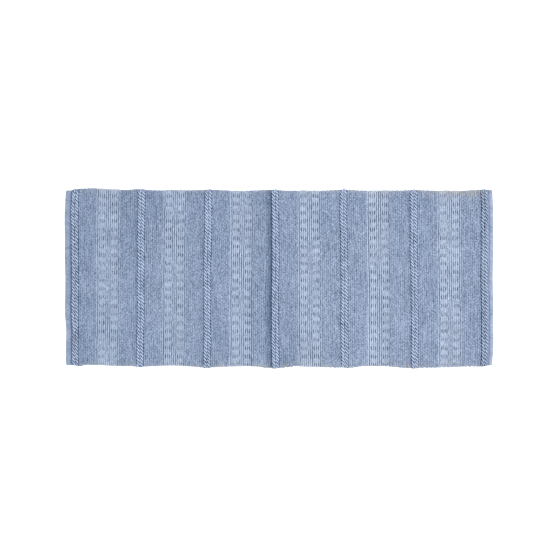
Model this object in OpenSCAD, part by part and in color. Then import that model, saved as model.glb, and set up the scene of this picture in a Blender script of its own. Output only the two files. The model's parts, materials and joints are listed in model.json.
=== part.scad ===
// Runner rug: a thick flat-woven runner. Cotton warp ends run its whole length, and bands of
// weft are beaten onto them: soft chenille grounds, cord bands with a raised block pattern, and
// heavy twisted ribs. Each short end is turned under, bound in flat tape and stitched.
// X runs along the runner, Y across it, and Z = 0 is the floor that it lies on.
// Bend lines lie between the bands, because the cloth can bend there. A rib bends with the
// chenille band on its right, and the end ribs with their hems.

/* [Runner] */
// Length from the edge of one hem to the edge of the other
runner_length = 1524; // [1450:1:1600]
// Width of the chenille bands
ground_width = 626; // [560:1:680]
// Thickness of the woven ground
ground_thick = 6.6; // [6:0.1:8]
// How much each repeat is longer than the repeat to its left
repeat_growth = 3.4; // [0:0.1:5]

/* [Bands] */
// Number of repeats, each with a rib on both sides
repeats = 6; // [3:1:6]
// Picks of cord in a pattern band
pattern_picks = 12; // [8:1:12]
// Distance from one pattern pick to the next
pattern_pitch = 7.25; // [6.5:0.05:8]
// Picks of chenille in each chenille band
chenille_picks = 9; // [7:1:10]
// Width of a pattern band, across the runner
pattern_width = 622; // [556:1:680]
// Width of a rib, across the runner
rib_width = 632; // [560:1:690]
// Diameter of one of the two cords in a rib
rib_cord = 12; // [10:0.1:13]
// Free gap between one band and the next
band_gap = 0.8; // [0.6:0.1:1.2]

/* [Warp] */
// Number of warp bars, each standing for three neighbouring warp ends
warp_bars = 34; // [12:2:52]
// Width of one warp bar
warp_w = 6; // [2:0.1:9]
// Height of one warp bar
warp_h = 1.8; // [1:0.1:2]
// Height of the middle of the warp above the floor
warp_z = 3; // [2.4:0.1:3.2]

/* [Hems] */
// Width of the tape that binds the left end
left_hem_w = 18; // [12:0.5:22]
// Width of the tape that binds the right end
right_hem_w = 14; // [12:0.5:22]
// Thickness of the bound hem
hem_thick = 6; // [5.6:0.1:7]
// Thickness of one layer of the tape
tape = 1.2; // [0.8:0.1:1.2]
// Open strip of heading cloth between the tape and the rib
groove_w = 5.4; // [3:0.1:6]
// Length of a hem, across the runner
hem_length = 620; // [550:1:680]
// Distance from the seam to the open edge of the tape
seam_inset = 2.4; // [1.6:0.1:4]

/* [Hidden] */
$fn = 48;
rib_pair = 2 * rib_cord + 1;
cord_offset = rib_pair / 4;
rib_sides = 12;
rib_middle = rib_cord / 2 * cos(180 / rib_sides);
pattern_w = pattern_picks * pattern_pitch;
first_rib = -runner_length / 2 + left_hem_w + groove_w + rib_pair / 2;
last_rib = runner_length / 2 - right_hem_w - groove_w - rib_pair / 2;
mean_repeat = (last_rib - first_rib) / repeats;
heading_thick = hem_thick - 2 * tape;
seam_w = 1;
seam_h = 0.5;
crest_drop = 0.8;
edge_chamfer = 1.8;
chamfer_depth = 1.1;
bar_pitch = (hem_length - 2 * warp_w) / (warp_bars - 1);

function hem_w(side) = side < 0 ? left_hem_w : right_hem_w;

// Centre of rib i, and the two chenille bands and the pattern band to its right
function repeat_w(i) = mean_repeat + repeat_growth * (i - (repeats - 1) / 2);
function rib_x(i) = i == 0 ? first_rib : rib_x(i - 1) + repeat_w(i - 1);
function chenille_w(i) = (repeat_w(i) - rib_pair - pattern_w) / 2;
function pattern_x(i) = rib_x(i) + repeat_w(i) / 2;
function chenille_x(i, side) = pattern_x(i) + side * (pattern_w + chenille_w(i)) / 2;

function two(n) = n < 10 ? str("0", n) : str(n);
function chenille_name(i, side) = str("chenille_", two(2 * i + (side < 0 ? 1 : 2)));

// The stretches that bend on their own are numbered from the left end, and so is their warp.
// bend_x is the bend line to the right of stretch n.
last = 3 * repeats + 2;
function repeat_of(n) = floor((n - 2) / 3);
function bend_x(n) = n == 1
    ? rib_x(0) + rib_pair / 2
    : let(i = repeat_of(n), place = (n - 2) % 3)
        place == 0 ? pattern_x(i) - pattern_w / 2
        : place == 1 ? pattern_x(i) + pattern_w / 2
        : rib_x(i + 1) - rib_pair / 2;
function warp_name(n) = str("warp_", two(n));

// Side outline of a woven band: flat below, one ridge for each pick above, cut back at the top
// of both ends so that the band can bend upward against its neighbour
function pick_outline(w, picks, low, high) = let(p = w / picks) [
    for (k = [0 : picks - 1]) each [
        [-w / 2 + (k + (k == 0 ? 0.26 : 0.12)) * p, low],
        [-w / 2 + (k + 0.34) * p, high],
        [-w / 2 + (k + 0.66) * p, high],
        [-w / 2 + (k + (k == picks - 1 ? 0.74 : 0.88)) * p, low]
    ]
];

module band_outline(w, picks) {
    free_w = w - band_gap;
    high = ground_thick;
    low = high - crest_drop;
    polygon([
        [free_w / 2, high - edge_chamfer],
        [free_w / 2, 0],
        [-free_w / 2, 0],
        [-free_w / 2, high - edge_chamfer],
        each pick_outline(w, picks, low, high)
    ]);
}

// Lays an outline drawn in X and Z across the runner
module across(width) {
    rotate([90, 0, 0])
        linear_extrude(height = width, center = true)
            children();
}

// The warp over one length: a row of bars in X
module warp_row(x0, x1) {
    for (k = [0 : warp_bars - 1])
        translate([x0, (k - (warp_bars - 1) / 2) * bar_pitch - warp_w / 2, warp_z - warp_h / 2])
            cube([x1 - x0, warp_w, warp_h]);
}

module band(x, w, picks, width) {
    difference() {
        translate([x, 0, 0]) across(width) band_outline(w, picks);
        warp_row(x - w, x + w);
    }
}

module chenille(i, side) {
    color("#90a0bb") band(chenille_x(i, side), chenille_w(i), chenille_picks, ground_width);
}

module pattern(i) {
    color("#9db0c8") band(pattern_x(i), pattern_w, pattern_picks, pattern_width);
}

// A rib is two heavy cords side by side, pierced by the warp and lying on one of their flats
module rib(i) {
    color("#8393ad") difference() {
        for (side = [-1, 1])
            translate([rib_x(i) + side * cord_offset, 0, rib_middle])
                across(rib_width)
                    rotate(180 / rib_sides) circle(d = rib_cord, $fn = rib_sides);
        warp_row(rib_x(i) - rib_pair, rib_x(i) + rib_pair);
    }
}

// The warp through stretch n, from one bend line to the next or into the hem
module warp(n) {
    hem_reach = runner_length / 2 - 2 * tape;
    from = n == 1 ? -hem_reach : bend_x(n - 1) + band_gap / 2;
    to = n == last ? hem_reach : bend_x(n) - band_gap / 2;
    color("#b9b5ab") warp_row(from, to);
}

// The end pieces are drawn at the right end, and mirrored for the left one
module at_end(side) {
    mirror([side < 0 ? 1 : 0, 0, 0])
        translate([runner_length / 2, 0, 0])
            children();
}

// Tape folded round the raw end: one ply above, one below and the fold
module hem_binding(side) {
    color("#9aaac4") at_end(side) across(hem_length) polygon([
        [-hem_w(side), 0],
        [0, 0],
        [0, hem_thick],
        [-hem_w(side), hem_thick],
        [-hem_w(side), hem_thick - tape],
        [-tape, hem_thick - tape],
        [-tape, tape],
        [-hem_w(side), tape]
    ]);
}

// Plain cloth that runs from the rib into the binding
module heading(side) {
    color("#7f8ea8") at_end(side) difference() {
        translate([-hem_w(side) - groove_w, -hem_length / 2, tape])
            cube([hem_w(side) + groove_w - tape, hem_length, heading_thick]);
        warp_row(-2 * hem_w(side), -2 * tape);
    }
}

// Thread of the seam, lying on the tape
module hem_seam(side) {
    color("#8896ae") at_end(side)
        translate([-hem_w(side) + seam_inset, -hem_length / 2, hem_thick])
            cube([seam_w, hem_length, seam_h]);
}

hem_binding(-1);  // left_hem_binding
heading(-1);  // left_heading
hem_seam(-1);  // left_hem_seam
for (i = [0 : repeats])
    rib(i);
for (i = [0 : repeats - 1]) for (side = [-1, 1])
    chenille(i, side);
for (i = [0 : repeats - 1])
    pattern(i);
for (n = [1 : last])
    warp(n);
heading(1);  // right_heading
hem_binding(1);  // right_hem_binding
hem_seam(1);  // right_hem_seam
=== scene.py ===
import json
import math
import zlib

import bpy
import numpy as np
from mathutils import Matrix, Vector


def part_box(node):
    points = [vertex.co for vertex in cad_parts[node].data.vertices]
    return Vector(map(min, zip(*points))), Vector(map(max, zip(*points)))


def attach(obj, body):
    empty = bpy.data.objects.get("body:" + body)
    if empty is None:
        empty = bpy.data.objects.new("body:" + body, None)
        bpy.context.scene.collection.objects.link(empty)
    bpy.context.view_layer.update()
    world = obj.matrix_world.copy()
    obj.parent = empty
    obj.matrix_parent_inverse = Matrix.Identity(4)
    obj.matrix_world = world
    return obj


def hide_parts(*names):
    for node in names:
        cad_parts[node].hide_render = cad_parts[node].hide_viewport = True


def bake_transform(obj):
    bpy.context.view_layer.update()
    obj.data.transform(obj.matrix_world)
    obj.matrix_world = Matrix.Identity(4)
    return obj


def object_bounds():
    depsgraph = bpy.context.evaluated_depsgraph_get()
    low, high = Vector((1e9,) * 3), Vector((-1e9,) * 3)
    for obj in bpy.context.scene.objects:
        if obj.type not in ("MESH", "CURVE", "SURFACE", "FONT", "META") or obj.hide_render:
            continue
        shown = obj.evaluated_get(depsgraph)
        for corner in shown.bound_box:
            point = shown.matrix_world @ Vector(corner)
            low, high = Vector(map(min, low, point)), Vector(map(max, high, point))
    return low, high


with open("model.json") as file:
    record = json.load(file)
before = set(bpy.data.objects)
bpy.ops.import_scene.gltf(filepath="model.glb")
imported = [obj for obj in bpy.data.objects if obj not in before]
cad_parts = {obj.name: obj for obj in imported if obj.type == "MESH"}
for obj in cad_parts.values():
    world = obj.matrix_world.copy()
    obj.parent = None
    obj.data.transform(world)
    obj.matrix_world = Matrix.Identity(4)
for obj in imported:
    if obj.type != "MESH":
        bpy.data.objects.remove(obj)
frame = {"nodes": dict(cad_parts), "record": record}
cad_low, cad_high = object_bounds()

# Shapes are worked out in millimetres, in the frame's own axes: X along the runner, Y across it.
MM = 0.001
UP = np.array([0.0, 0.0, 1.0])

# Weave
WARP_ENDS = 102
WARP_PITCH = 6.02
FIRST_END = -(WARP_ENDS - 1) / 2 * WARP_PITCH
BAND_GAP = 0.8
CHENILLE_PICKS = 9
PATTERN_PICKS = 12
HEADING_PICKS = 8
GROUND_PICKS = {"chenille": 9, "pattern": 12, "rib": 7}
GROUND_Z = 3.35
UNDER_Z = 1.9
CRIMP = 0.42
DIP_DEPTH = 0.9
END_THICK = 0.55
SELVEDGE_THICK = 1.6

# Pattern: a repeat of warp ends, the share of it where the cords float, and the cords of a block
REPEAT_ENDS = 5
FLOAT_SHARE = 0.55
BLOCK_PITCH = 6
BLOCK_CORDS = (1, 2, 3, 4)

# Rib cords: one turn of the two plies, how far each stands from the cord's middle to the side
# and upward, and the strands on it
RIB_LAY = 4 * WARP_PITCH
CORD_Z = 6.3
PLY_THICK = 3.25
PLY_OUT = 3.8
PLY_UP = 2.65
STRANDS = 5
STRAND_LAY = 17

# Hem
TAPE = 1.2
HEM_Z = 3.0
SEAM_INSET = 2.4
STITCH = 4.8
RIBBING = 1.5

# Heights of a warp end under and over the weft of each kind of band
END_HEIGHTS = {
    "chenille": (GROUND_Z - 2.2, GROUND_Z + 1.75),
    "pattern": (GROUND_Z - 2.2, GROUND_Z + 1.75),
    "rib": (CORD_Z - 5.0, CORD_Z),
    "heading": (HEM_Z - 1.0, HEM_Z + 1.0),
}

# Colours, linear
NATURAL = (0.46, 0.42, 0.35)
CHENILLE_BLUE = (0.244, 0.314, 0.452)
CORD_BLUE = (0.290, 0.367, 0.505)
# The rib cord's dark end is the colour of painted shade between its plies, and its light end that of
# painted light on their crests
RIB_DARK = (0.004, 0.036, 0.105)
RIB_LIGHT = (0.462, 0.556, 0.746)
TAPE_BLUE = (0.272, 0.341, 0.468)
HEADING_BLUE = (0.360, 0.440, 0.590)
WARP_BLUE = (0.185, 0.250, 0.375)
# The ground picks are dark: painted shade at the bottom of the gaps between the thick picks
GROUND_BLUE = (0.110, 0.155, 0.250)
UNDER_RIB_BLUE = (0.195, 0.255, 0.375)


# ---------------------------------------------------------------- the frame

BODY_OF = {
    node: body
    for body, nodes in frame["record"]["behaviour"]["bodies"].items()
    for node in nodes
}
REPEATS = sum(node.startswith("pattern_") for node in frame["nodes"])
STRETCHES = sum(node.startswith("warp_") for node in frame["nodes"])
LAST_RIB = f"rib_{REPEATS + 1}"


def kind_of(node):
    """The first word of a band's name: chenille, pattern or rib."""
    return node.split("_")[0]


def number_of(node):
    return int(node.split("_")[1])


def span(node):
    """Lowest and highest x of a CAD node."""
    low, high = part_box(node)
    return low.x / MM, high.x / MM


def middle(node):
    low, high = span(node)
    return (low + high) / 2


def band_span(node):
    """A woven band's own length of runner: its CAD slab and half the free gap at each end."""
    low, high = span(node)
    return low - BAND_GAP / 2, high + BAND_GAP / 2


def pick_places(node, count):
    """x of each pick of a band, evenly spaced."""
    low, high = band_span(node)
    return low + (np.arange(count) + 0.5) * (high - low) / count


def rib_places(node):
    """x of the two cords of a rib."""
    low, high = span(node)
    quarter = 0.96 * (high - low + BAND_GAP) / 4
    return np.array([middle(node) - quarter, middle(node) + quarter])


def heading_places(node):
    low, high = span(node)
    return low + (np.arange(HEADING_PICKS) + 0.5) * (high - low) / HEADING_PICKS


# ---------------------------------------------------------------- how the runner is uneven, with painted shade

# The cloth dips along the left of some ribs, as a share of the deepest dip, and lifts one rib.
# The dipped picks are darkened as well: painted shade for the rib's shadow
DIPS = {"chenille_02": 0.2, "chenille_04": 0.2, "chenille_06": 1.0, "chenille_08": 0.1}
LIFTS = {"rib_4": 1.2}
# How much each chenille band darkens from its middle to the far side, from the left band on
FAR_SHADES = (0.0, 0.09, 0.09, 0.04, 0.0, 0.03, -0.04, 0.02, 0.045, 0.03, 0.02, 0.0)
# How dark each rib is, as an offset to its tone; the ribs are not all alike
RIB_SHADES = {
    "rib_1": -0.62, "rib_2": -0.55, "rib_3": -0.54, "rib_4": -0.56,
    "rib_5": -0.51, "rib_6": -0.52, "rib_7": -0.62,
}
# These pattern bands darken to the right, and have no darker first cord
TILTED = ("pattern_3", "pattern_5")
# Where each long edge stands out or falls back: the middle, the reach and by how much
BULGES = {
    1: (
        (-655, 90, 7.0), (-578, 14, 1.6), (-514, 22, 2.2), (-386, 22, 2.4), (30, 50, -2.2),
        (470, 80, -1.8), (596, 14, 1.8), (660, 14, -1.8),
    ),
    -1: (
        (-731, 10, -2.4), (-709, 11, 3.4), (-690, 70, -3.6), (-52, 14, 2.4), (57, 16, -2.8),
        (180, 480, 4.2), (226, 14, -4.0), (296, 26, -3.2), (447, 30, 2.0), (560, 90, 3.0),
        (617, 40, 2.2), (738, 10, -1.8),
    ),
}
# Half widths: of the weave on each side, and of the hems
WOVEN_REACH = {1: 311.0, -1: 313.2}
HEM_REACH = {
    ("left", 1): 311.2, ("left", -1): 311.5, ("right", 1): 313.4, ("right", -1): 312.0
}
NOMINAL_REACH = 310
# How far the ends and the left end rib lie from the middle of the runner
END_X = 762
END_RIB_X = 726
# How far from a rib its hold on the edge lasts. The hem's own reach takes over from this far
# outside the middle of an end rib, over this length
RIB_HOLD = 38
RIB_SKIRT = 9
HEM_BLEND = 6
RIB_MIDDLES = [middle(f"rib_{number}") for number in range(1, REPEATS + 2)]


def hill(x, place, reach):
    """A smooth bump of height 1 at this place."""
    return np.exp(-(((x - place) / reach) ** 2))


def edge(x, side):
    """How far the runner reaches on one side at x. The ribs hold it out, and between them the
    ends draw it in. Beyond the end ribs it keeps to the reach of the hem."""
    held = max(math.exp(-abs(x - place) / RIB_HOLD) for place in RIB_MIDDLES)
    drift = 0.6 * math.sin(x / 61 + side) + 0.4 * math.sin(x / 23 - 2 * side)
    uneven = sum(amount * hill(x, place, reach) for place, reach, amount in BULGES[side])
    if side > 0:
        stand = 4.6 - 2.4 * hill(x, -END_RIB_X, 40)
    else:
        stand = 7.5 * (1 - 0.6 * (x / END_RIB_X) ** 2)
    woven = WOVEN_REACH[side] + uneven + stand * held + drift
    end = "left" if x < 0 else "right"
    beyond = max(RIB_MIDDLES[0] - RIB_SKIRT - x, x - RIB_MIDDLES[-1] - RIB_SKIRT)
    share = min(max(beyond / HEM_BLEND, 0.0), 1.0)
    return woven * (1 - share) + HEM_REACH[end, side] * share


def sway(points):
    """The beaten lines of the weave lean and wander a little, the ends are drawn in at their
    corners, and the left one is dented near its front corner. Every yarn follows alike."""
    x, y = points[..., 0], points[..., 1]
    moved = points.copy()
    at_left, at_right = hill(x, -END_X, 110), hill(x, END_X, 110)
    hem_left, hem_right = hill(x, -END_X, 38), hill(x, END_X, 38)
    lean = -2.2 * np.tanh(x / 150) * (1 - at_left) * (1 - at_right) * y / 250
    drawn = 3.0 * (at_left - at_right) * np.clip((np.abs(y) - 250) / 65, 0, 1.1) ** 2
    tight = 1.9 * (hem_left - hem_right) * np.clip((np.abs(y) - 225) / 45, 0, 1)
    dent = 5.0 * hem_left * hill(y, -205, 68)
    shift = 1.9 * hill(x, 520, 300)
    moved[..., 0] += lean + drawn + tight + dent + shift
    moved[..., 0] += 0.9 * np.sin(y / 71 + x / 160) + 0.4 * np.sin(y / 29 - x / 90)
    return moved


# ---------------------------------------------------------------- random but repeatable relief

def dice(name):
    return np.random.default_rng(zlib.crc32(name.encode()))


def ease(x):
    """Whole part and eased fraction of x, for joining random values smoothly."""
    whole = np.floor(x).astype(int)
    part = x - whole
    return whole, part * part * (3 - 2 * part)


def wander(rng, distance, step, size):
    """A smooth random curve along a yarn."""
    knots = rng.normal(0, size, int(distance[-1] / step) + 3)
    i, f = ease(distance / step)
    return knots[i] * (1 - f) + knots[i + 1] * f


def lumps(rng, distance, sides, step, around, size):
    """Smooth random relief on a yarn: one row for each ring, one column for each side."""
    knots = rng.normal(0, size, (int(distance[-1] / step) + 3, around))
    i, f = ease(distance / step)
    rows = knots[i] * (1 - f)[:, None] + knots[i + 1] * f[:, None]
    j, g = ease(np.arange(sides) * around / sides)
    return rows[:, j % around] * (1 - g) + rows[:, (j + 1) % around] * g


# ---------------------------------------------------------------- meshes

def along_path(path):
    steps = np.linalg.norm(np.diff(path, axis=0), axis=1)
    return np.concatenate([[0.0], np.cumsum(steps)])


def frames(path):
    """Unit vectors to the side of a path and upward from it."""
    along = np.gradient(path, axis=0)
    along /= np.linalg.norm(along, axis=1)[:, None]
    side = np.cross(along, UP)
    side /= np.linalg.norm(side, axis=1)[:, None]
    return side, np.cross(side, along)


def ring_angles(sides):
    """Angles round a yarn, starting underneath it."""
    return 2 * np.pi * np.arange(sides) / sides - np.pi / 2


def tube_faces(rings, sides):
    i = np.arange(rings - 1)[:, None] * sides
    j = np.arange(sides)[None, :]
    k = (j + 1) % sides
    quads = np.stack([i + j, i + sides + j, i + sides + k, i + k], axis=-1)
    return quads.reshape(-1, 4)


def end_caps(rings, sides):
    return [np.arange(sides), np.arange(sides)[::-1] + (rings - 1) * sides]


def tube(path, wide, high, relief, tone, tan, mark, square=1.0):
    """A closed yarn round a path. wide and high are half sizes for each ring, relief stands
    outward, tone runs from hollow to crest and carries painted shade and light as well as the
    yarn's own uneven colour, tan is how much natural cotton shows, and a square below 1 presses
    the yarn's round section towards a box."""
    rings, sides = relief.shape
    side, up = frames(path)
    angle = ring_angles(sides)
    across, rise = (np.sign(v) * np.abs(v) ** square for v in (np.cos(angle), np.sin(angle)))
    out = (wide[:, None] + relief) * across
    lift = (high[:, None] + relief) * rise
    points = path[:, None] + out[..., None] * side[:, None] + lift[..., None] * up[:, None]
    distance = np.broadcast_to(along_path(path)[:, None], (rings, sides))
    arc = np.broadcast_to((angle + np.pi / 2) * wide.mean(), (rings, sides))
    yarn = np.stack([distance * MM, arc * MM, np.full((rings, sides), mark)], axis=-1)
    return {
        "points": points.reshape(-1, 3),
        "quads": tube_faces(rings, sides),
        "caps": end_caps(rings, sides),
        "tone": np.broadcast_to(tone, (rings, sides)).ravel(),
        "tan": np.broadcast_to(tan, (rings, sides)).ravel(),
        "yarn": yarn.reshape(-1, 3),
    }


def closing(distance, length):
    """Factor that rounds a yarn off over `length` at both of its ends, down to a blunt tip."""
    blunt = 0.15
    from_end = np.minimum(distance, distance[-1] - distance) / length
    t = np.clip(from_end, 0.0, 1.0)
    return np.sqrt(1 - (1 - t) ** 2) * (1 - blunt) + blunt


def build(name, parts, material):
    """One object from several parts, placed in the frame, with their tone, tan and yarn marks.
    It is pressed flat where it lies on the floor."""
    base = np.cumsum([0] + [len(p["points"]) for p in parts])
    points = sway(np.concatenate([p["points"] for p in parts])) * MM
    points[:, 2] = np.maximum(points[:, 2], 0.0)
    quads = np.concatenate([p["quads"] + b for p, b in zip(parts, base)])
    caps = [c + b for p, b in zip(parts, base) for c in p["caps"]]
    corners = np.concatenate([quads.ravel(), *caps]).astype(np.int32)
    sizes = np.concatenate([np.full(len(quads), 4), [len(c) for c in caps]]).astype(np.int32)
    mesh = bpy.data.meshes.new(name)
    mesh.vertices.add(len(points))
    mesh.vertices.foreach_set("co", points.astype(np.float32).ravel())
    mesh.loops.add(len(corners))
    mesh.loops.foreach_set("vertex_index", corners)
    mesh.polygons.add(len(sizes))
    mesh.polygons.foreach_set("loop_start", np.cumsum(sizes) - sizes)
    mesh.polygons.foreach_set("loop_total", sizes)
    for key, kind, field in (
        ("tone", "FLOAT", "value"), ("tan", "FLOAT", "value"), ("yarn", "FLOAT_VECTOR", "vector")
    ):
        values = np.concatenate([p[key] for p in parts]).astype(np.float32)
        mesh.attributes.new(key, kind, "POINT").data.foreach_set(field, values.ravel())
    mesh.update(calc_edges=True)
    mesh.validate()
    mesh.shade_smooth()
    mesh.materials.append(material)
    piece = bpy.data.objects.new(name, mesh)
    bpy.context.scene.collection.objects.link(piece)
    return piece


# ---------------------------------------------------------------- weft

def serpentine(places, step, half=3.4, inset=0.0):
    """One weft yarn laid pick after pick, with a half-turn round the selvedge after each.
    Returns its points in plan, its pick number, which runs on through the turns, and the y
    that its crimp is read at."""
    x, y, pick, hold = [], [], [], []
    for j, place in enumerate(places):
        way = 1 if j % 2 == 0 else -1
        last = j == len(places) - 1
        radius = 0.0 if last else (places[j + 1] - place) / 2
        depth = 0.5 * radius
        turn_x = place + radius
        start = y_end if j else -way * (edge(place, -way) - inset)
        stop = way * (edge(turn_x, way) - depth - (0.0 if last else half))
        run = np.linspace(start, stop, max(int(abs(stop - start) / step), 8))
        x.append(np.full(len(run), place))
        y.append(run)
        pick.append(np.full(len(run), float(j)))
        hold.append(run)
        y_end = stop
        if not last:
            count = max(int(np.pi * radius / step), 5)
            t = np.arange(1, count) / count
            x.append(turn_x - radius * np.cos(np.pi * t))
            y.append(stop + way * depth * np.sin(np.pi * t) ** 0.7)
            pick.append(j + t)
            hold.append(np.full(count - 1, stop))
    return tuple(np.concatenate(v) for v in (x, y, pick, hold))


def crimp(pick, hold, first):
    """+1 where the weft passes over an end and -1 where it passes under, along its whole way."""
    whole = np.floor(pick)
    sign = np.where((whole + first) % 2 == 0, 1.0, -1.0) * (1 - 2 * (pick - whole))
    return sign * np.cos(np.pi * (hold - FIRST_END) / WARP_PITCH)


def selvedge_tan(x, y, rng, distance):
    """Natural cotton shows where the yarn turns round the outermost ends, and most of all along
    the far side towards the right end."""
    near = np.clip((np.abs(y) - 290) / 24, 0, 1) ** 2
    share = np.where(y > 0, 0.12 + 0.16 * (1 + np.tanh((x - 100) / 300)), 0.18)
    corner = 0.42 * hill(x, 660, 100) * hill(y, 318, 30)
    patches = 1 + wander(rng, distance, 7, 0.5)
    return np.clip(near * (share + wander(rng, distance, 9, 0.14)) + corner * patches, 0, 0.55)


def sunk(node, number, count):
    """How deep pick `number` of a band lies, where the cloth dips along the left of a rib."""
    depth = DIPS.get(node, 0.0)
    return depth * np.clip(1 - (count - 1 - number) / 3, 0, 1)


def chenille(node, first, material):
    """A chenille band: thick soft pile yarn in plain weave, pinched where an end crosses it."""
    rng = dice(node)
    places = pick_places(node, CHENILLE_PICKS)
    pitch = places[1] - places[0]
    x, y, pick, hold = serpentine(places, 1.3)
    path = np.stack([x, y, np.full(len(x), GROUND_Z)], axis=1)
    distance = along_path(path)
    over = crimp(pick, hold, first)
    dip = sunk(node, pick, CHENILLE_PICKS)
    path[:, 2] += CRIMP * over - DIP_DEPTH * dip
    path[:, 0] += wander(rng, distance, 11, 0.4)
    path[:, 2] += wander(rng, distance, 8, 0.15)
    pinch = np.clip(-over, 0, 1) ** 3
    fade = closing(distance, 3.5)
    sides = 12
    coarse = lumps(rng, distance, sides, 3.2, 5, 0.32)
    fine = lumps(rng, distance, sides, 1.8, 8, 0.17)
    wide = (0.525 * pitch - 0.2 * pinch) * fade
    high = (2.35 - 0.3 * pinch) * fade
    # Flanks of a pick darker, top and underside lighter: painted shade between the picks. The tone
    # also follows the relief, lighter on lumps and darker in dents: painted light and shade
    crest = np.abs(np.sin(ring_angles(sides))) ** 0.5 - 0.85
    tone = 0.5 + 0.5 * coarse + 0.5 * fine + 0.35 * crest + wander(rng, distance, 40, 0.06)[:, None]
    far = y / NOMINAL_REACH
    shade = FAR_SHADES[number_of(node) - 1] * far + 0.05 * far ** 2
    # 0.6 * dip darkens the picks that dip beside a rib: painted shade of the rib
    tone = tone - (0.6 * dip + shade)[:, None]
    tan = selvedge_tan(x, y, rng, distance)[:, None]
    part = tube(path, wide, high, coarse + fine, tone, tan, rng.random(), square=0.72)
    return build(node + "_weft", [part], material)


def float_share(y):
    """1 where the cords of a block float side by side and 0 where the ends part them."""
    place = ((y - FIRST_END) / (REPEAT_ENDS * WARP_PITCH)) % 1.0
    rise = np.abs(place - FLOAT_SHARE / 2)
    rise = np.minimum(rise, 1 - rise)
    return np.clip((FLOAT_SHARE / 2 + 0.06 - rise) / 0.12, 0, 1)


def seam_between(k, floating, pitch):
    """Half gap and shift of the line between pattern cords k - 1 and k."""
    place = k % BLOCK_PITCH
    if k in (0, PATTERN_PICKS):
        return 0.03 * pitch, 0.0
    if place in (0, 1):
        return 0.13 * pitch, 0.0
    if place == BLOCK_PITCH - 1:
        return 0.11 * pitch, 0.17 * pitch * (floating - 0.45)
    strong = 0.20 if place in (2, 4) else 0.13
    return (strong * (1 - floating) - 0.045 * floating) * pitch, 0.0


def pattern(node, first, material):
    """A pattern band: smooth cords, in two blocks of four that close up over every third of a
    repeat and open between, with plain cords beside the blocks."""
    rng = dice(node)
    places = pick_places(node, PATTERN_PICKS)
    pitch = places[1] - places[0]
    x, y, pick, hold = serpentine(places, 1.4)
    path = np.stack([x, y, np.full(len(x), GROUND_Z)], axis=1)
    distance = along_path(path)
    over = crimp(pick, hold, first)
    cord = np.round(pick)
    floating = float_share(hold + wander(rng, distance, 60, 1.2))
    open_share = 0.84 - 0.018 * (number_of(node) - 3.8) ** 2
    worn = np.clip(open_share + wander(rng, distance, 34, 0.15), 0.2, 1.2)
    left, right = np.zeros(len(x)), np.zeros(len(x))
    block = np.zeros(len(x))
    for j in range(PATTERN_PICKS):
        mine = cord == j
        half_gap, shift = seam_between(j, floating[mine], pitch)
        left[mine] = half_gap * worn[mine] + shift
        half_gap, shift = seam_between(j + 1, floating[mine], pitch)
        right[mine] = half_gap * worn[mine] - shift
        block[mine] = float(j % BLOCK_PITCH in BLOCK_CORDS)
    raised = floating * block
    turn = np.abs(pick - cord) * 2
    path[:, 0] += (left - right) / 2 * (1 - turn)
    path[:, 2] += CRIMP * over * (1 - 0.85 * raised) + 0.2 * raised - 0.25 * block * (1 - floating)
    path[:, 0] += wander(rng, distance, 16, 0.16)
    fade = closing(distance, 3.5)
    sides = 12
    coarse = lumps(rng, distance, sides, 5.5, 4, 0.11)
    fine = lumps(rng, distance, sides, 2.2, 7, 0.08)
    wide = (pitch / 2 - (left + right) / 2) * fade
    high = (2.42 + 0.08 * raised) * fade
    # Flanks of a cord darker, top and underside lighter: painted shade between the cords. The tone
    # also follows the relief, lighter on lumps and darker in dents: painted light and shade
    crest = np.abs(np.sin(ring_angles(sides)))
    tilted = node in TILTED
    border = cord == PATTERN_PICKS - 1
    if not tilted:
        border = border | (cord == 0)
    tilt = 0.16 if tilted else 0.05
    darkening = 0.12 * border + tilt * np.clip((pick - 7) / 4, 0, 1)
    tone = 0.415 + 0.32 * crest + 0.9 * (coarse + fine) - (0.08 * raised + darkening)[:, None]
    tan = selvedge_tan(x, y, rng, distance)[:, None] + 0.05 * raised[:, None]
    cords = tube(path, wide, high, coarse + fine, tone, tan, rng.random(), square=0.85)
    return build(node + "_weft", [cords], material)


def ground(node, first, material):
    """Thin picks that close the ground between the thick ones, and under the rib cords, where
    they are the back of the runner and took as much dye as the rest of it. Between the thick
    picks they are dark all round, and under the ribs dark on top: painted shade in the gaps
    and under the cords."""
    low, high = band_span(node)
    under_rib = kind_of(node) == "rib"
    count = GROUND_PICKS[kind_of(node)]
    spacing = (high - low) / count
    places = low + np.arange(count) * spacing
    if under_rib:
        places = places + spacing / 2
    x, y, pick, hold = serpentine(places, 2.4, half=6.0, inset=5.0)
    path = np.stack([x, y, UNDER_Z - 0.4 * crimp(pick, hold, first)], axis=1)
    distance = along_path(path)
    fade = closing(distance, 2.0)
    sides = 6
    relief = np.zeros((len(x), sides))
    # The tone starts dark: painted shade. Under a rib the underside is lifted to the yarn's own
    # colour
    tone = np.full(sides, -0.1)
    if under_rib:
        relief += lumps(dice(node + "_ground"), distance, sides, 3.0, 4, 0.12)
        tone = tone + 0.75 * np.clip(-np.sin(ring_angles(sides)), 0, 1) + relief
    wide = 0.65 * spacing if under_rib else 0.34 * spacing
    part = tube(path, wide * fade, 1.1 * fade, relief, tone, 0.0, 0.5)
    return build(node + "_ground", [part], material)


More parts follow.
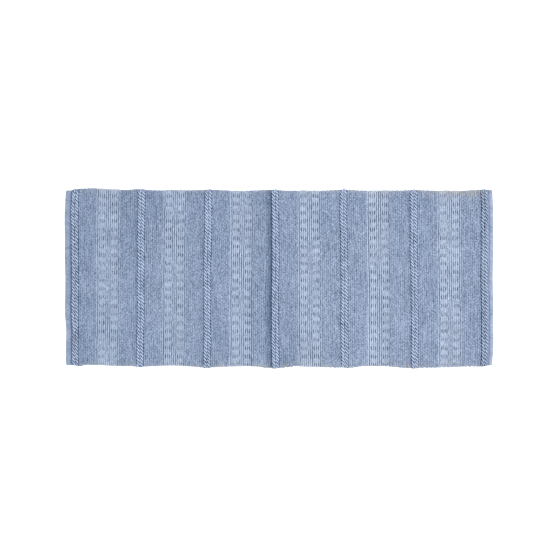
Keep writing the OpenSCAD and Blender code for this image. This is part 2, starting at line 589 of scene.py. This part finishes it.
def rib(node, first, material):
    """A rib: one heavy cord of two plies, laid across and back. The ends pass between the plies
    at its waists."""
    rng = dice(node)
    places = rib_places(node)
    x, y, pick, _ = serpentine(places, 1.25, half=6.5)
    path = np.stack([x, y, np.full(len(x), CORD_Z + LIFTS.get(node, 0.0))], axis=1)
    distance = along_path(path)
    path[:, 0] += wander(rng, distance, 35, 0.3)
    side, up = frames(path)
    turn = 2 * np.pi * distance / RIB_LAY
    for j in (0, 1):
        at = np.argmax(pick == j) + np.sum(pick == j) // 2
        pairs = round((y[at] - FIRST_END) / WARP_PITCH / 2)
        waist = FIRST_END + WARP_PITCH * (2 * pairs + j)
        way = 1 if j == 0 else -1
        there = turn[at] + way * 2 * np.pi * (waist - y[at]) / RIB_LAY
        want = np.pi * (round(there / np.pi - 0.5) + 0.5)
        turn = turn + (want - there) * np.clip(pick - j + 1, 0, 1)
    turn += wander(rng, distance, 50, 0.2)
    swell = 1 + wander(rng, distance, 30, 0.05)
    fade = closing(distance, 6.0)
    sides = 16
    parts = []
    for ply in (0, np.pi):
        centre = path + (
            (PLY_OUT * np.cos(turn + ply) * fade)[:, None] * side
            + (PLY_UP * np.sin(turn + ply) * fade)[:, None] * up
        )
        own = dice(f"{node}{ply}")
        twist = 2 * np.pi * distance[:, None] / STRAND_LAY
        strands = 0.28 * np.cos(STRANDS * ring_angles(sides)[None] - twist)
        coarse = lumps(own, distance, sides, 4.5, 5, 0.16)
        fine = lumps(own, distance, sides, 1.9, 7, 0.09)
        # Each ply is lighter where it lies high, on its top and underside and where strands and lumps
        # stand out, and darker on its flanks and in the grooves: painted light and shade
        height = np.sin(turn + ply)[:, None] * 0.25
        crest = np.abs(np.sin(ring_angles(sides)))[None] * 1.35
        tone = RIB_SHADES[node] + height + crest + 0.5 * strands + 0.8 * (coarse + fine)
        tan = 0.3 * selvedge_tan(x, y, own, distance)[:, None]
        thick = PLY_THICK * swell * fade
        parts.append(
            tube(centre, thick, thick, strands + coarse + fine, tone, tan, own.random())
        )
    return build(node + "_cord", parts, material)


# ---------------------------------------------------------------- warp

def end_heights(picks, k):
    """Height of warp end k at each pick: over the weft that passes under it, and the reverse."""
    heights = []
    for number, (_, kind, cord) in enumerate(picks):
        under = (number + k) % 2 == 0
        if kind == "pattern" and cord % BLOCK_PITCH in BLOCK_CORDS:
            under = k % REPEAT_ENDS < 3 or under
        below, above = END_HEIGHTS[kind]
        heights.append(below if under else above)
    return np.array(heights)


def warp_stretch(name, picks, low, high, material):
    """All the warp ends from x = low to x = high, each crimped over and under the picks."""
    rng = dice(name)
    at = np.array([p[0] for p in picks])
    rings = max(int((high - low) / 1.8), 6)
    x = np.linspace(low, high, rings)
    i = np.clip(np.searchsorted(at, x) - 1, 0, len(at) - 2)
    part = np.clip((x - at[i]) / (at[i + 1] - at[i]), 0, 1)
    blend = (1 - np.cos(np.pi * part)) / 2
    sides = 5
    parts = []
    for k in range(-1, WARP_ENDS + 1):
        heights = end_heights(picks, k)
        z = heights[i] * (1 - blend) + heights[i + 1] * blend
        y = FIRST_END + k * WARP_PITCH + wander(rng, x - low, 25, 0.15)
        outermost = k in (-1, WARP_ENDS)
        if outermost:
            side = 1 if k > 0 else -1
            y = side * np.array([edge(place, side) - 2.4 for place in x])
            z = GROUND_Z + 0.3 * (z - GROUND_Z)
        path = np.stack([x, y, z], axis=1)
        outer = min(k, WARP_ENDS - 1 - k) < 3
        thick = np.full(rings, SELVEDGE_THICK if outermost else END_THICK)
        tone = 0.45 + rng.normal(0, 0.08)
        parts.append(
            tube(path, thick, thick, np.zeros((rings, sides)), tone, 0.35 * outer, rng.random())
        )
    return build(name, parts, material)


# ---------------------------------------------------------------- hems

def strip(profile, ys, relief, tone):
    """A closed profile in X and Z, swept along Y. relief(x, y, z) gives the outward stand."""
    rings, sides = len(ys), len(profile)
    tangent = np.roll(profile, -1, 0) - np.roll(profile, 1, 0)
    normal = np.stack([tangent[:, 1], -tangent[:, 0]], axis=1)
    normal /= np.linalg.norm(normal, axis=1)[:, None]
    x = np.broadcast_to(profile[:, 0], (rings, sides))
    z = np.broadcast_to(profile[:, 1], (rings, sides))
    y = np.broadcast_to(ys[:, None], (rings, sides))
    out = relief(x, y, z)
    points = np.stack([x + out * normal[:, 0], y, z + out * normal[:, 1]], axis=-1)
    length = np.concatenate([[0], np.cumsum(np.linalg.norm(np.diff(profile, axis=0), axis=1))])
    yarn = np.stack([y * MM, np.broadcast_to(length * MM, (rings, sides)), 0 * y], axis=-1)
    return {
        "points": points.reshape(-1, 3),
        "quads": tube_faces(rings, sides),
        "caps": end_caps(rings, sides),
        # The tone follows the relief: painted light on the ribbing, painted shade in the seam's
        # pucker
        "tone": (tone + 1.2 * out).ravel(),
        "tan": np.zeros(rings * sides),
        "yarn": yarn.reshape(-1, 3),
    }


def fold_profile(outer, inner, thick):
    """Outline of tape folded round an end: below, round the fold, above, and back inside."""
    way = 1 if inner > outer else -1
    centre = outer + way * HEM_Z
    flat = np.linspace(inner, centre, 14)
    turn = np.linspace(-np.pi / 2, np.pi / 2, 9)
    outline = []
    for radius in (HEM_Z, HEM_Z - thick):
        low = np.stack([flat, np.full_like(flat, HEM_Z - radius)], axis=1)
        bend = np.stack([centre - way * radius * np.cos(turn), HEM_Z + radius * np.sin(turn)], 1)
        high = np.stack([flat[::-1], np.full_like(flat, HEM_Z + radius)], axis=1)
        outline.append(np.concatenate([low, bend[1:-1], high]))
    both = np.concatenate([outline[0], outline[1][::-1]])
    return both if way < 0 else both[::-1]


def hem_lines(node):
    """x of a binding's fold, of its open edge and of its seam, and the way in from the fold."""
    low, high = span(node)
    outer, inner = (low, high) if low < 0 else (high, low)
    way = 1 if inner > outer else -1
    return outer, inner, inner - way * SEAM_INSET, way


def binding(node, material):
    """Ribbed tape folded round the end of the runner and drawn in a little by its seam."""
    outer, inner, seam, way = hem_lines(node)
    rng = dice(node)
    ys = np.arange(-edge(outer, -1), edge(outer, 1), 0.5)
    to_corner = np.minimum(ys - ys[0], ys[-1] - ys)
    wave = wander(rng, ys - ys[0], 45, 0.25)
    wave += way * (0.4 + 1.4 * np.clip(1 - to_corner / 10, 0, 1) ** 2)

    def relief(x, y, z):
        ribbing = 0.07 * np.cos(2 * np.pi * y / RIBBING)
        pucker = -0.22 * hill(x, seam, 0.9) * (1 - 0.35 * np.cos(2 * np.pi * y / STITCH))
        inside = (np.abs(z - HEM_Z) < HEM_Z - TAPE / 2) & (np.abs(x - outer) > TAPE / 2)
        return np.where(inside, 0.0, ribbing + pucker)

    profile = fold_profile(outer, inner, TAPE)
    part = strip(profile, ys, relief, 0.5)
    part["points"][:, 0] += np.repeat(wave, len(profile))
    part["tone"] += np.repeat(wander(rng, ys - ys[0], 14, 0.06), len(profile))
    return build(node.replace("_binding", "_tape"), [part], material)


def stitches(node, binding_node, material):
    """The seam: a thread that dives through the hem after each stitch, seen above and below."""
    outer, _, seam, _ = hem_lines(binding_node)
    rng = dice(node)
    first, last = 4 - edge(outer, -1), edge(outer, 1) - 4
    hole = 0.35
    t = np.linspace(0, 1, 9)
    arch = np.sin(np.pi * t)
    thick = np.full(len(t), 0.36)
    parts = []
    for number in range(int((last - first) / STITCH)):
        start = first + number * STITCH
        tilt = rng.normal(0, 0.12)
        for face in (1, -1):
            z = HEM_Z + face * (HEM_Z - 0.75 + 0.55 * arch)
            along = start + hole + t * (STITCH - 2 * hole)
            path = np.stack([seam + tilt * (t - 0.5), along, z], axis=1)
            parts.append(tube(path, thick, thick, np.zeros((len(t), 6)), 0.5, 0.0, rng.random()))
    return build(node + "_thread", parts, material)


def heading(node, first, material):
    """Fine plain cloth that runs from the rib into the binding."""
    rng = dice(node)
    places = heading_places(node)
    pitch = places[1] - places[0]
    x, y, pick, hold = serpentine(places, 1.6)
    path = np.stack([x, y, np.full(len(x), HEM_Z)], axis=1)
    distance = along_path(path)
    over = crimp(pick, hold, first)
    path[:, 2] += 0.25 * over
    fade = closing(distance, 2.0)
    relief = lumps(rng, distance, 8, 3.0, 4, 0.06)
    # Lighter where the relief stands out and darker where it sinks: painted light and shade
    tone = 0.5 + 1.5 * relief
    part = tube(path, 0.5 * pitch * fade, 0.95 * fade, relief, tone, 0.0, rng.random())
    return build(node + "_weft", [part], material)


# ---------------------------------------------------------------- materials

def node_maker(material):
    """Clears a material and returns a function that makes one shader node. An input is given by
    its name, or as i and its number, and is linked if it is a socket and set if it is a value."""
    material.use_nodes = True
    tree = material.node_tree
    tree.nodes.clear()

    def make(kind, settings=(), **inputs):
        made = tree.nodes.new(kind)
        for key, value in dict(settings).items():
            setattr(made, key, value)
        for key, value in inputs.items():
            numbered = key[0] == "i" and key[1:].isdigit()
            socket = made.inputs[int(key[1:]) if numbered else key.replace("_", " ")]
            if isinstance(value, bpy.types.NodeSocket):
                tree.links.new(value, socket)
            else:
                socket.default_value = value
        return made

    return make


def dye_and_painted_shade(colour, *factors):
    """Shades of a dye colour, one for each factor: the darker, the more saturated. The dark
    shades are also the colour of painted shade in hollows, the light ones that of painted
    light on crests.
    """
    red, green, blue = colour
    return [(red * f ** 1.4, green * f ** 1.2, blue * f) for f in factors]


def fabric(name, shades, spread, grain, fibre, stretch, depth, turn=0.6, sheen=0.1):
    """Yarn or tape. Colour runs from the dark shade in the hollows to the light one on the
    crests: painted shade and painted light, carried by the tone together with the yarn's own
    uneven colour. It is broken up by a mottle of this spread and grain and by broad blotches. A
    higher fibre makes finer fibres. They are stretch times as long as they are thick, turn away
    from the yarn's own line, and stand out by depth in millimetres."""
    dark, light = shades
    blotch_share, fibre_share = 0.4, 0.5
    material = bpy.data.materials.new(name)
    make = node_maker(material)
    yarn = make("ShaderNodeAttribute", {"attribute_name": "yarn"}).outputs["Vector"]
    tone = make("ShaderNodeAttribute", {"attribute_name": "tone"}).outputs["Fac"]
    tan = make("ShaderNodeAttribute", {"attribute_name": "tan"}).outputs["Fac"]
    place = make("ShaderNodeTexCoord").outputs["Object"]
    mottle = make("ShaderNodeTexNoise", i0=place, Scale=grain, Detail=4.0, Roughness=0.7)
    blotch = make("ShaderNodeTexNoise", i0=place, Scale=17.0, Detail=2.0, Roughness=0.5)
    turned = make(
        "ShaderNodeMapping", i0=yarn, Rotation=(0, 0, turn), Scale=(fibre / stretch, fibre, 40)
    )
    fibres = make("ShaderNodeTexNoise", i0=turned.outputs[0], Scale=1.0, Detail=4.0, Roughness=0.65)
    add = {"operation": "MULTIPLY_ADD"}
    mixed = make("ShaderNodeMath", add, i0=mottle.outputs[0], i1=spread, i2=tone)
    mixed = make("ShaderNodeMath", add, i0=blotch.outputs[0], i1=blotch_share, i2=mixed.outputs[0])
    mixed = make("ShaderNodeMath", add, i0=fibres.outputs[0], i1=fibre_share, i2=mixed.outputs[0])
    even = 0.5 + (spread + blotch_share + fibre_share) / 2
    factor = make("ShaderNodeMapRange", i0=mixed.outputs[0], i1=even - 0.5, i2=even + 0.5)
    # Low tone gives the dark end, painted shade, and high tone the light end, painted light
    dye = make(
        "ShaderNodeMix", {"data_type": "RGBA"}, i0=factor.outputs[0], i6=(*dark, 1), i7=(*light, 1)
    )
    natural = make(
        "ShaderNodeMix", {"data_type": "RGBA"}, i0=tan, i6=dye.outputs[2], i7=(*NATURAL, 1)
    )
    bump = make("ShaderNodeBump", Strength=1.0, Distance=depth * MM, Height=fibres.outputs[0])
    shader = make(
        "ShaderNodeBsdfPrincipled", Base_Color=natural.outputs[2], Normal=bump.outputs[0],
        Roughness=0.92, Sheen_Weight=sheen, Sheen_Roughness=0.55, Sheen_Tint=(*light, 1),
        Specular_IOR_Level=0.15,
    )
    make("ShaderNodeOutputMaterial", i0=shader.outputs[0])
    return material


def chenille_material(number):
    """The bands get a little lighter towards the right of the runner."""
    bright = 0.945 + 0.0065 * number + 0.055 * hill(number, 8.8, 1.4) + 0.02 * hill(number, 3.5, 1)
    return fabric(
        f"chenille_{number:02d}", dye_and_painted_shade(CHENILLE_BLUE, 0.50 * bright, 1.45 * bright),
        spread=5.3, grain=580, fibre=1900, stretch=1.4, depth=0.55, turn=0.0, sheen=0.3,
    )


def cord_material(number):
    bright = 0.85 + 0.023 * number
    return fabric(
        f"pattern_cord_{number}", dye_and_painted_shade(CORD_BLUE, 0.52 * bright, 1.60 * bright),
        spread=0.9, grain=290, fibre=2400, stretch=7.0, depth=0.28, sheen=0.25,
    )


def rib_material():
    return fabric(
        "rib_cord", (RIB_DARK, RIB_LIGHT),
        spread=0.6, grain=280, fibre=2200, stretch=6.0, depth=0.4, turn=0.7, sheen=0.08,
    )


def ground_material():
    return fabric(
        "ground_pick", dye_and_painted_shade(GROUND_BLUE, 0.6, 1.3),
        spread=0.6, grain=300, fibre=3200, stretch=6.0, depth=0.12,
    )


def under_rib_material():
    return fabric(
        "under_rib", dye_and_painted_shade(UNDER_RIB_BLUE, 0.6, 1.3),
        spread=0.8, grain=300, fibre=2600, stretch=6.0, depth=0.2, sheen=0.15,
    )


def heading_material(node):
    """The cloth of the right heading is lighter, like the tape at that end. The left one is
    darker: painted shade, for the shadow of the rib beside it.
    """
    bright = 0.72 if node.startswith("left") else 1.15
    return fabric(
        f"{node}_cloth", dye_and_painted_shade(HEADING_BLUE, 0.7 * bright, 1.3 * bright),
        spread=0.5, grain=300, fibre=2400, stretch=5.0, depth=0.2, turn=0.5, sheen=0.2,
    )


def warp_material():
    return fabric(
        "warp_cotton", dye_and_painted_shade(WARP_BLUE, 0.7, 1.25),
        spread=0.5, grain=300, fibre=3200, stretch=6.0, depth=0.12, sheen=0.15,
    )


def tape_material(end, bright):
    return fabric(
        f"{end}_hem_tape", dye_and_painted_shade(TAPE_BLUE, 0.55 * bright, 1.32 * bright),
        spread=2.2, grain=260, fibre=2600, stretch=3.0, depth=0.12, turn=0.0, sheen=0.2,
    )


def thread_material():
    return fabric(
        "hem_thread", dye_and_painted_shade(TAPE_BLUE, 0.75, 1.2),
        spread=0.3, grain=400, fibre=4200, stretch=5.0, depth=0.08,
    )


# ---------------------------------------------------------------- assembly


def place_piece(piece, node):
    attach(piece, BODY_OF[node])
    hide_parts(node)
    return piece


def woven_bands():
    """Every weft band in order from the left: its CAD node, its kind and its picks."""
    bands = [("left_heading", "heading", heading_places("left_heading"))]
    for i in range(1, REPEATS + 1):
        bands.append((f"rib_{i}", "rib", rib_places(f"rib_{i}")))
        for node, kind, count in (
            (f"chenille_{2 * i - 1:02d}", "chenille", CHENILLE_PICKS),
            (f"pattern_{i}", "pattern", PATTERN_PICKS),
            (f"chenille_{2 * i:02d}", "chenille", CHENILLE_PICKS),
        ):
            bands.append((node, kind, pick_places(node, count)))
    bands.append((LAST_RIB, "rib", rib_places(LAST_RIB)))
    bands.append(("right_heading", "heading", heading_places("right_heading")))
    return bands


def weave():
    """All the weft, and the list of picks that the warp follows."""
    cord_cotton, ground_cotton, under_cotton = rib_material(), ground_material(), under_rib_material()
    picks, woven, grounds = [], {}, {}
    for node, kind, places in woven_bands():
        first = len(picks)
        if kind == "chenille":
            piece = chenille(node, first, chenille_material(number_of(node)))
        elif kind == "pattern":
            piece = pattern(node, first, cord_material(number_of(node)))
        elif kind == "rib":
            piece = rib(node, first, cord_cotton)
        else:
            piece = heading(node, first, heading_material(node))
        woven[node] = place_piece(piece, node)
        if kind != "heading":
            cotton = under_cotton if kind == "rib" else ground_cotton
            grounds[node] = place_piece(ground(node, first, cotton), node)
        picks += [(x, kind, cord) for cord, x in enumerate(places)]
    return picks, woven, grounds


def warp(picks):
    """The warp in stretches from mid-band to mid-band, each reaching across one bend line."""
    cotton = warp_material()
    left_end, right_end = span("warp_01")[0], span(f"warp_{STRETCHES:02d}")[1]
    for number in range(1, STRETCHES):
        final = number == STRETCHES - 1
        here, there = f"warp_{number:02d}", f"warp_{number + 1:02d}"
        low = left_end if number == 1 else middle(here)
        high = right_end if final else middle(there)
        piece = warp_stretch(f"warp_ends_{number:02d}", picks, low, high, cotton)
        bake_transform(piece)
        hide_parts(here, *([there] if final else []))


def hems():
    """The two bindings and their seams. The right tape is lighter."""
    thread = thread_material()
    pieces = {}
    for end, bright in (("left", 0.96), ("right", 1.17)):
        node, seam = f"{end}_hem_binding", f"{end}_hem_seam"
        tape = tape_material(end, bright)
        pieces[node] = place_piece(binding(node, tape), node)
        pieces[seam] = place_piece(stitches(seam, node, thread), seam)
    return pieces


# ---------------------------------------------------------------- stage

# The picture is this many times as wide as the runner is long, and the camera stands a little
# nearer to the front, as a share of the picture
VIEW_WIDTH = 1.30374
VIEW_SHIFT = 0.00224
FLOOR_REACH = 12.0
FLOOR_Z = -0.0004


def pale_floor():
    """A white floor that glows a little, so that it stays as pale as a picture's background."""
    low, high = -FLOOR_REACH, FLOOR_REACH
    corners = [(low, low, FLOOR_Z), (high, low, FLOOR_Z), (high, high, FLOOR_Z), (low, high, FLOOR_Z)]
    mesh = bpy.data.meshes.new("floor")
    mesh.from_pydata(corners, [], [(0, 1, 2, 3)])
    floor = bpy.data.objects.new("floor", mesh)
    bpy.context.scene.collection.objects.link(floor)
    paint = bpy.data.materials.new("pale_floor")
    make = node_maker(paint)
    shader = make(
        "ShaderNodeBsdfPrincipled", Base_Color=(0.9, 0.9, 0.9, 1), Roughness=0.9,
        Specular_IOR_Level=0.1, Emission_Color=(1, 1, 1, 1), Emission_Strength=0.45,
    )
    make("ShaderNodeOutputMaterial", i0=shader.outputs[0])
    mesh.materials.append(paint)


def lights():
    """Even light from all round, and a large soft window to the right."""
    world = bpy.data.worlds.new("studio")
    bpy.context.scene.world = world
    world.use_nodes = True
    background = world.node_tree.nodes["Background"]
    background.inputs["Color"].default_value = (0.93, 0.965, 1.0, 1)
    background.inputs["Strength"].default_value = 0.76
    window = bpy.data.objects.new("window", bpy.data.lights.new("window", "SUN"))
    window.data.energy = 2.1
    window.data.angle = math.radians(34)
    window.data.color = (1.0, 0.98, 0.95)
    window.rotation_euler = (math.radians(-8), math.radians(33), 0)
    bpy.context.scene.collection.objects.link(window)


def overhead_camera():
    """A camera straight above, with the whole runner in view."""
    camera = bpy.data.objects.new("camera", bpy.data.cameras.new("camera"))
    camera.data.lens = 100
    camera.data.sensor_width = 36
    seen = (cad_high.x - cad_low.x) * VIEW_WIDTH
    distance = seen * camera.data.lens / camera.data.sensor_width
    camera.location = (0, -VIEW_SHIFT * seen, distance)
    camera.data.clip_end = 4 * distance
    bpy.context.scene.collection.objects.link(camera)
    bpy.context.scene.camera = camera
    bpy.context.scene.view_settings.view_transform = "Standard"


pale_floor()
lights()
overhead_camera()
picks, woven, grounds = weave()
warp(picks)
hem_pieces = hems()
